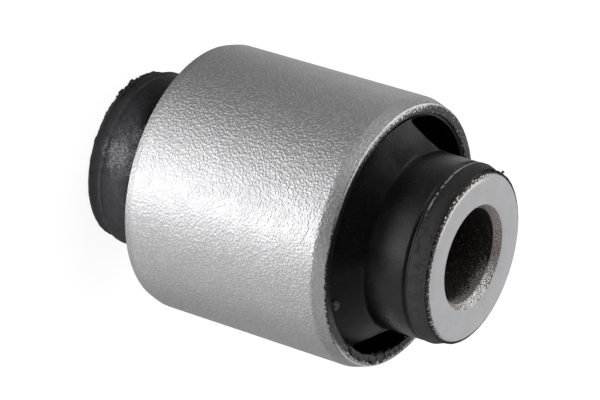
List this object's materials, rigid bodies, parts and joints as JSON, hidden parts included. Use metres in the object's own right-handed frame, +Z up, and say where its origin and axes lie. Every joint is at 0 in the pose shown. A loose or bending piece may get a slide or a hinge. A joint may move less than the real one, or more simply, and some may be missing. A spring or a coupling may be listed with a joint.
{
  "type": "rubber metal bush",
  "caption": "Suspension bush: a steel outer sleeve and a steel inner tube for a bolt, bonded by one rubber moulding with voids.",
  "frame": {"origin": "centre of the inner tube's lower end face, on which the bush stands", "axes": "+Z up along the bolt's axis, towards the sleeve's end with the longer lead-in; -Y towards the middle of the wide rubber web"},
  "size_m": [0.035, 0.035, 0.051],
  "materials": {
    "sleeve_steel": "pebbled, tumbled grey",
    "tube_steel": "satin, turned ends",
    "rubber": "moulded, matt"
  },
  "bodies": {
    "root": {"outer_sleeve": "sleeve_steel", "inner_tube": "tube_steel", "rubber_body": "rubber"}
  },
  "joints": []
}
